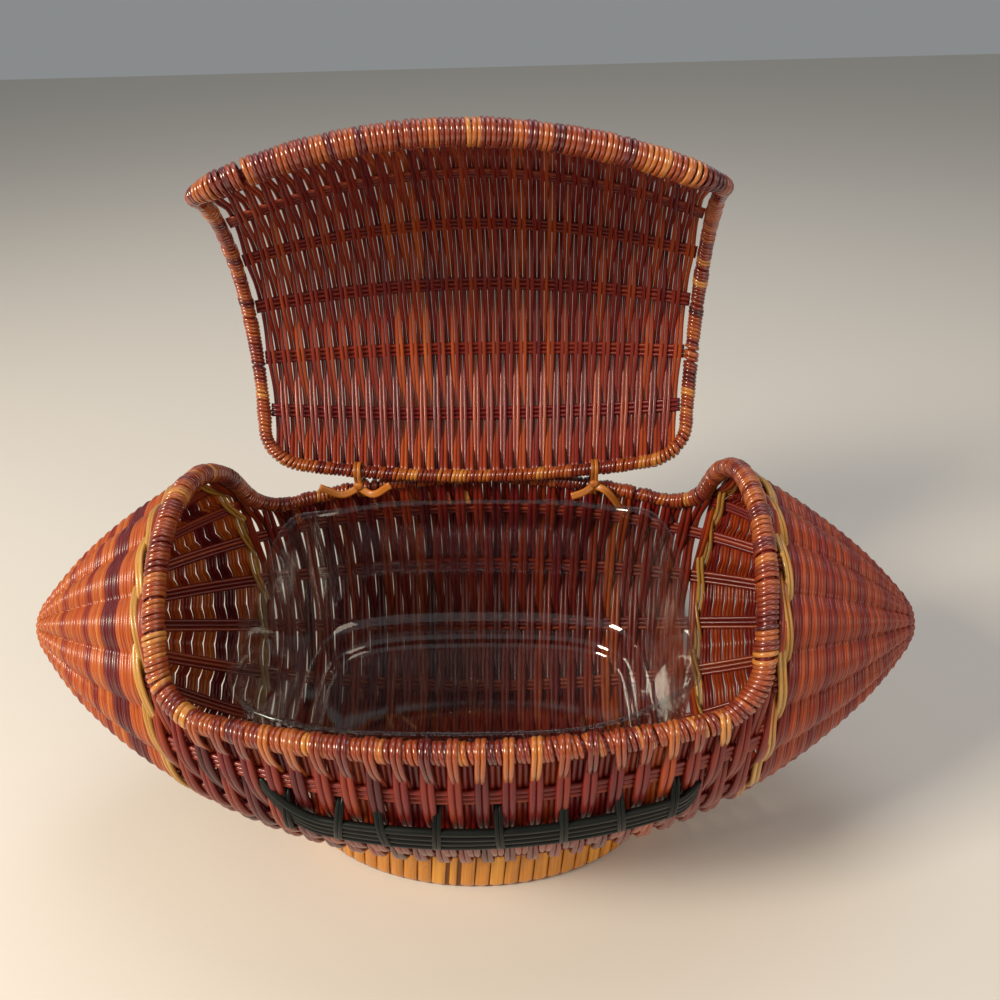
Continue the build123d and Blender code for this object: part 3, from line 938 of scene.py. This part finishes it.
rim = Border(OPEN_HALF, OPEN_TURN, OPEN_TURN, OPEN_CORNER,
             {"front": RIM_RADIUS, "right": RIM_RADIUS, "back": BACK_RIM_RADIUS,
              "left": RIM_RADIUS})
rods, wraps = rim.rods(), rim.wraps(RIM_WRAP)
wraps["front"] += hooks(OPEN_TURN, RIM_RADIUS, RIM_WRAP)
wraps["back"] += hooks(-OPEN_TURN, BACK_RIM_RADIUS, BACK_HOOK)
node_names = {"front": "front_rim", "right": "right_hoop", "back": "back_rim", "left": "left_hoop"}
for side, node in node_names.items():
    make_piece(node + "_rod", rods[side], woven, "basket", "stake_reed", node + "_core")
    make_piece(node + "_wraps", wraps[side], bound, "basket", "binding_reed", node + "_binding")

make_piece("black_laces", lace_reeds(), black, "basket", "black_reed", "lace_reeds")
make_piece("black_stitches", lace_straps(), black, "basket", "black_reed", "lace_straps")
make_piece("foot_cane_wraps", foot_wraps(), foot_cane, "basket", "foot_cane", "foot_ring_winding")

foot_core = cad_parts["foot_ring_core"]
foot_core.data.materials.clear()
foot_core.data.materials.append(plain_material("bent_raw_rattan", "#7a4a22", 0.6))

# Pieces of the lid, and the liner

make_piece("lid_weavers", lid_weavers(), woven, "lid", "reed_weave", "lid_weave")
make_piece("lid_stake_reeds", lid_stakes(), woven, "lid", "stake_reed", "lid_stakes")

edge = Border(LID_HALF, LID_FRONT_TURN, LID_BACK_TURN, LID_CORNER,
              {"front": LID_EDGE_RADIUS, "right": LID_SIDE_RADIUS, "back": LID_SIDE_RADIUS,
               "left": LID_SIDE_RADIUS})
rods, wraps = edge.rods(), edge.wraps(LID_WRAP, LID_GAP_X)
for side in rods:
    node = "lid_" + side
    for reed in rods[side] + wraps[side]:
        reed.on_open_lid()
    make_piece(node + "_rod", rods[side], woven, "lid", "stake_reed", node + "_core")
    make_piece(node + "_wraps", wraps[side], bound, "lid", "binding_reed", node + "_binding")

make_liner()

# Floor and light

bpy.ops.mesh.primitive_plane_add(size=6, location=(0, 0, 0))
floor = bpy.context.object
floor.name = "floor"
floor.data.materials.append(plain_material("pale_paper_floor", "#d9d4cc", 0.9))

world = bpy.data.worlds.new("studio")
bpy.context.scene.world = world
world.use_nodes = True
sky = world.node_tree.nodes["Background"]
sky.inputs["Color"].default_value = linear("#dfe3e4")
sky.inputs["Strength"].default_value = 0.34


def place_object(name, data, place, right, up, back):
    """Puts a lamp or camera in the scene, looking away from back."""
    made = bpy.data.objects.new(name, data)
    rows = [[right[i], up[i], back[i], place[i]] for i in range(3)]
    made.matrix_world = Matrix(rows + [[0, 0, 0, 1]])
    bpy.context.scene.collection.objects.link(made)
    return made


def lamp(name, place, aim, size, power, code):
    light = bpy.data.lights.new(name, "AREA")
    light.size = size
    light.energy = power
    light.color = linear(code)[:3]
    back = unit(np.array(place) - np.array(aim))
    right = unit(np.cross([0, 0, 1], back))
    place_object(name, light, place, right, np.cross(back, right), back)


lamp("key", (-0.95, -0.6, 1.0), (0, 0, 0.12), 0.4, 23, "#fff0da")
lamp("fill", (1.1, -0.9, 0.9), (0, 0, 0.12), 1.0, 7, "#ffe9d2")
lamp("top", (0.1, 0.4, 1.4), (0, 0.05, 0.1), 0.8, 5, "#eef4ff")

# The camera was fitted to the outline of the basket in the photograph
CAMERA_PLACE = np.array([28.97, -326.53, 379.68]) * MM
CAMERA_YAW = math.radians(-2.31)
CAMERA_PITCH = math.radians(-31.94)
CAMERA_ROLL = math.radians(-1.79)
FOCAL_PIXELS = 910.65
IMAGE_PIXELS = 1000

forward = np.array([math.sin(CAMERA_YAW) * math.cos(CAMERA_PITCH),
                    math.cos(CAMERA_YAW) * math.cos(CAMERA_PITCH), math.sin(CAMERA_PITCH)])
level = np.array([math.cos(CAMERA_YAW), -math.sin(CAMERA_YAW), 0])
upright = np.cross(level, forward)
right = level * math.cos(CAMERA_ROLL) + upright * math.sin(CAMERA_ROLL)
up = upright * math.cos(CAMERA_ROLL) - level * math.sin(CAMERA_ROLL)
lens = bpy.data.cameras.new("camera")
lens.sensor_width = 36
lens.lens = FOCAL_PIXELS * lens.sensor_width / IMAGE_PIXELS
lens.clip_start = 0.01
bpy.context.scene.camera = place_object("camera", lens, CAMERA_PLACE, right, up, -forward)
bpy.context.scene.view_settings.view_transform = "Standard"
